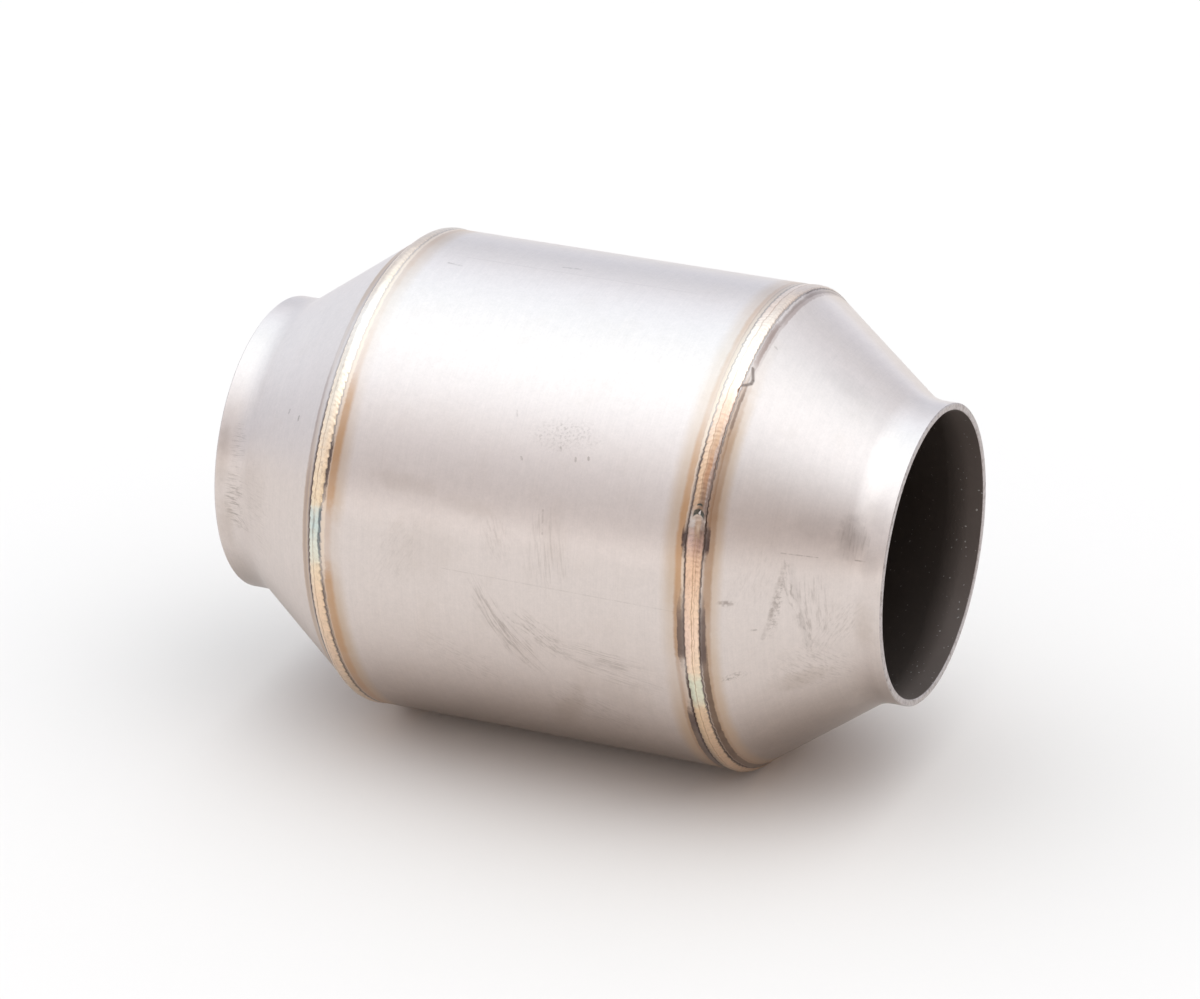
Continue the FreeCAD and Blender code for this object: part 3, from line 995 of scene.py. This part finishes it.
def coating_finish():
    finish = Finish("catalyst_coating", Metallic=0.2)
    clouds = finish.noise(finish.place, 0.3, detail=4.0)
    finish.set("Base Color", finish.mix(clouds, PALE_COATING, DARK_COATING))
    finish.set("Roughness", 0.65 + 0.2 * (clouds - 0.5))
    return finish.material


# Weld metal by clock angle: how flecked with brown, then the colour of each half of a bead
TAN_METAL = (0.73, 0.56, 0.39)
FLECKED = [
    (-180, 0.2), (-24, 0.4), (-18, 0.15), (-5, 0.35), (5, 0.55), (12, 0.5), (21, 0.7),
    (30, 0.45), (50, 0.2), (65, 0.05), (100, 0.1)]
OUTLET_BARREL_HALF = [
    (-180, TAN_METAL), (-45, (0.51, 0.38, 0.26)), (-24, (0.82, 0.61, 0.4)),
    (-20.5, (0.67, 0.70, 0.56)), (-15.5, (0.75, 0.77, 0.61)), (-12.5, (0.94, 0.74, 0.57)),
    (-6, (0.84, 0.62, 0.51)), (4, (0.84, 0.6, 0.46)), (12, (0.8, 0.54, 0.38)),
    (15.5, (0.79, 0.53, 0.37)), (19, (0.56, 0.38, 0.32)), (24, (0.45, 0.35, 0.29)),
    (28, (0.56, 0.37, 0.24)), (36, (0.7, 0.48, 0.32)), (44, (0.78, 0.57, 0.43)),
    (52, (0.83, 0.64, 0.52)), (60, (0.91, 0.79, 0.67)), (76, (0.84, 0.72, 0.61)),
    (84, (0.74, 0.58, 0.48)), (100, (0.69, 0.57, 0.49))]
OUTLET_CONE_HALF = [
    (-180, TAN_METAL), (-40, (0.67, 0.48, 0.33)), (-24, (0.78, 0.58, 0.4)),
    (-20.5, (0.74, 0.72, 0.57)), (-15.5, (0.75, 0.75, 0.59)), (-12.5, (0.89, 0.7, 0.52)),
    (-4, (0.93, 0.69, 0.53)), (4, (0.9, 0.66, 0.48)), (12, (0.83, 0.56, 0.39)),
    (15, (0.8, 0.54, 0.38)), (18, (0.5, 0.32, 0.26)), (22, (0.33, 0.23, 0.19)),
    (28, (0.26, 0.17, 0.12)), (36, (0.45, 0.25, 0.15)), (44, (0.57, 0.39, 0.27)),
    (52, (0.8, 0.56, 0.43)), (60, (0.87, 0.74, 0.63)), (76, (0.81, 0.69, 0.58)),
    (84, (0.67, 0.55, 0.46)), (92, (0.72, 0.57, 0.46)), (100, (0.61, 0.5, 0.43))]
INLET_HALF = [
    (-180, TAN_METAL), (-45, (0.68, 0.54, 0.4)), (-30, (0.78, 0.59, 0.44)),
    (-10, (0.84, 0.62, 0.44)), (-3, (0.84, 0.68, 0.49)), (-1, (0.77, 0.73, 0.6)),
    (3, (0.73, 0.74, 0.64)), (8, (0.6, 0.69, 0.65)), (11, (0.68, 0.71, 0.64)),
    (13, (0.85, 0.67, 0.46)), (25, (0.9, 0.71, 0.52)), (40, (0.93, 0.8, 0.64)),
    (60, (0.95, 0.87, 0.77)), (72, (0.76, 0.63, 0.51)), (90, (0.64, 0.52, 0.43)),
    (110, (0.62, 0.54, 0.46))]

# Creases: reach across the bead, strength by clock angle
OUTLET_CREASES = [
    (-0.55, [(-180, 0.0), (24, 0.0), (30, 0.9), (55, 0.7), (65, 0.3), (80, 0.7), (105, 0.8),
             (179, 0.4)]),
    (0.05, [(-180, 0.4), (-45, 0.9), (8, 0.9), (20, 0.5), (26, 0.0), (179, 0.0)]),
    (0.75, [(-180, 0.0), (-14, 0.1), (-6, 0.6), (15, 0.6), (22, 0.2)])]
INLET_CREASES = [
    (0.15, [(-180, 0.4), (-30, 0.8), (-4, 0.9), (12, 0.5), (20, 0.9), (40, 0.4), (60, 0.1)])]

# Tints on the beads themselves, as those of the sheet; then how dark the toes are
EYE_BROWN = (0.44, 0.30, 0.21)
PALE_METAL = (0.68, 0.60, 0.54)
OUTLET_BEAD_TINTS = [
    (0.0, 2.2, 0.3, PALE_METAL, [
        (-180, 0.0), (22.5, 0.0), (23.5, 0.8), (24.8, 0.5), (26, 0.0)]),
    (0.35, 0.5, 0.5, EYE_BROWN, [
        (-180, 0.0), (19.5, 0.0), (20.5, 0.7), (24, 0.8), (25.5, 0.0)]),
    (0.45, 0.25, 0.3, CREAM, [(-180, 0.0), (22.3, 0.0), (22.8, 0.9), (23.3, 0.9), (23.8, 0.0)]),
    (1.6, 0.35, 0.4, SMOKE, [
        (-180, 0.0), (24, 0.0), (28, 0.7), (42, 0.6), (47, 0.3), (60, 0.0)])]
INLET_BEAD_TINTS = [
    (-1.95, 0.25, 0.3, BLUE_GREY, [(-180, 0.0), (-1.5, 0.0), (1, 0.75), (11, 0.85), (13, 0.0)]),
    (0.15, 0.2, 0.5, BLUE_GREY, [(-180, 0.0), (2, 0.0), (5, 0.35), (9.5, 0.45), (11, 0.0)])]
OUTLET_EDGES = [
    (-180, 0.8), (-20, 0.8), (0, 0.45), (20, 0.6), (42, 0.6), (55, 0.25), (100, 0.25)]
INLET_EDGES = [
    (-180, 0.7), (-20, 0.6), (-3, 0.5), (30, 0.5), (42, 0.2), (70, 0.1), (100, 0.15)]


# ---------------------------------------------------------------- putting it together

def paint(piece, outside, inside, rim):
    """The faces that look at the gas axis take the inside finish, a neck's end the rim's."""
    for finish in (outside, inside, rim):
        piece.data.materials.append(finish)
    for face in piece.data.polygons:
        outward = Vector((0, face.center.y, face.center.z))
        at_end = abs(face.center.x) > NECK_END - EDGE_BREAK and abs(face.normal.x) > 0.5
        looks_in = face.normal.dot(outward) < -0.01 * MM
        face.material_index = 2 if at_end else 1 if looks_in else 0


def dress(piece, slot, *nodes):
    """Sets a finished piece's grain, gives it its body and hides the CAD nodes that it stands for;
    its slot is not used.
    """
    grain_round_axis(piece)
    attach(piece, "root")
    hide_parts(*nodes)


def build_body():
    inside = shaded_inside_finish()
    rim = rim_finish()
    shell = barrel()
    paint(shell, barrel_finish(), inside, rim)
    dress(shell, "body_sheet", "barrel_shell", "barrel_seam_weld")
    outlet_cone = cone("outlet_spun_cone")
    paint(outlet_cone, cone_finish(outlet=True), inside, rim)
    dress(outlet_cone, "body_sheet", "outlet_cone")
    inlet_cone = cone("inlet_spun_cone")
    turn_to_inlet(inlet_cone)
    paint(inlet_cone, cone_finish(outlet=False), inside, rim)
    dress(inlet_cone, "body_sheet", "inlet_cone")


def build_welds():
    outlet_bead = girth_weld("outlet_bead", outlet=True, seed=OUTLET_SEED)
    outlet_bead.data.materials.append(bead_finish(
        "outlet_weld_metal", True, OUTLET_BARREL_HALF, OUTLET_CONE_HALF, OUTLET_CREASES,
        OUTLET_BEAD_TINTS, OUTLET_EDGES))
    dress(outlet_bead, "weld_metal", "outlet_girth_weld")
    inlet_bead = girth_weld("inlet_bead", outlet=False, seed=INLET_SEED)
    turn_to_inlet(inlet_bead)
    inlet_bead.data.materials.append(bead_finish(
        "inlet_weld_metal", False, INLET_HALF, INLET_HALF, INLET_CREASES, INLET_BEAD_TINTS,
        INLET_EDGES))
    dress(inlet_bead, "weld_metal", "inlet_girth_weld")


def build_matrix():
    coating = coating_finish()
    for piece, node in ((smooth_foil(), "flat_foil"), (waved_foil(), "corrugated_foil")):
        piece.data.materials.append(coating)
        dress(piece, "coated_foil", node)
    mantle = plain_steel("mantle_steel", MANTLE_GREY, 0.45)
    weld = plain_steel("stitch_weld_steel", STITCH_TAN, 0.40)
    for name, node in frame["nodes"].items():
        if name.startswith(("matrix_", "mantle_")):
            node.data.materials.clear()
            node.data.materials.append(weld if "weld" in name else mantle)


# ---------------------------------------------------------------- studio

# The room's light by the height of a direction, 0 level and 1 overhead, on three sides
FRONT_LIGHT = [(0.0, (1.36, 1.33, 1.32)), (0.14, (0.96, 0.91, 0.88)), (0.28, (0.81, 0.76, 0.74)),
               (0.42, (0.88, 0.85, 0.85)), (0.56, (0.98, 0.95, 0.96)), (0.70, (1.17, 1.15, 1.14)),
               (0.82, (1.41, 1.42, 1.45)), (0.92, (1.67, 1.72, 1.77)), (1.0, (1.96, 2.02, 2.08))]
BACK_LIGHT = [(0.0, (1.05, 1.12, 1.25)), (0.14, (0.87, 0.94, 1.07)), (0.28, (0.84, 0.91, 1.04)),
              (0.42, (0.96, 1.04, 1.15)), (0.56, (1.14, 1.24, 1.39)), (0.70, (1.34, 1.50, 1.70)),
              (0.82, (1.39, 1.62, 1.83)), (0.92, (1.33, 1.59, 1.74)), (1.0, (1.29, 1.55, 1.62))]
RIGHT_LIGHT = [(0.0, (0.98, 0.95, 0.94)), (0.14, (0.65, 0.59, 0.57)), (0.28, (0.48, 0.41, 0.39)),
               (0.42, (0.56, 0.52, 0.51)), (0.56, (0.87, 0.90, 0.95)), (0.70, (1.39, 1.52, 1.65)),
               (0.82, (2.03, 2.24, 2.43)), (0.92, (2.70, 2.92, 3.14)), (1.0, (3.33, 3.53, 3.77))]
BRIGHTEST = 4.0


def studio_light():
    """A pale room under one broad soft light, with a cooler wall at the back on the left."""
    world = bpy.data.worlds.new("studio")
    bpy.context.scene.world = world
    world.use_nodes = True
    board = Board(world.node_tree)
    direction = board.node("ShaderNodeTexCoord", output="Generated")
    x, y, z = board.split(direction)
    front, back, right = [
        z.ramp([(height, tuple(part / BRIGHTEST for part in tint)) for height, tint in light])
        for light in (FRONT_LIGHT, BACK_LIGHT, RIGHT_LIGHT)]
    light = board.mix((-0.8 * x + 0.6 * y).step(-0.6, 0.9),
                      board.mix(x.step(-0.1, 0.9), front, right), back)
    background = world.node_tree.nodes["Background"]
    board.plug(light, background.inputs["Color"])
    board.plug(BRIGHTEST, background.inputs["Strength"])


FLOOR_SIZE = 8.0
FLOOR_PAPER = (0.80, 0.745, 0.70)


def floor():
    deselect()
    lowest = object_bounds()[0][2]
    bpy.ops.mesh.primitive_plane_add(size=FLOOR_SIZE, location=(0, 0, lowest))
    slab = bpy.context.object
    slab.name = "floor"
    bpy.ops.object.transform_apply(location=True, rotation=True, scale=True)
    finish = Finish("floor_paper", Roughness=0.9, Specular_IOR_Level=0.1)
    fibre = finish.noise(finish.place, 0.8, detail=2.0)
    finish.set("Base Color", finish.shade(FLOOR_PAPER, 0.995 + 0.01 * (fibre - 0.5)))
    slab.data.materials.append(finish.material)
    slab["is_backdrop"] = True


CAMERA_AZIMUTH = math.radians(23.1)
CAMERA_HEIGHT = math.radians(23.87)
CAMERA_ROLL = math.radians(0.1)
CAMERA_DISTANCE = 1.4932
CAMERA_LENS = 168.45
CAMERA_AIM = Vector((0, 0, -0.0008))


def camera():
    towards = Vector((math.sin(CAMERA_AZIMUTH) * math.cos(CAMERA_HEIGHT),
                      -math.cos(CAMERA_AZIMUTH) * math.cos(CAMERA_HEIGHT),
                      math.sin(CAMERA_HEIGHT)))
    turn = towards.to_track_quat("Z", "Y").to_matrix().to_euler()
    bpy.ops.object.camera_add(location=CAMERA_AIM + towards * CAMERA_DISTANCE, rotation=turn)
    eye = bpy.context.object
    eye.name = "camera"
    eye.rotation_euler.rotate_axis("Z", CAMERA_ROLL)
    eye.data.sensor_width = 36
    eye.data.lens = CAMERA_LENS
    bpy.context.scene.camera = eye


camera()
build_body()
build_welds()
build_matrix()
floor()
studio_light()
bpy.context.scene.view_settings.view_transform = "Standard"
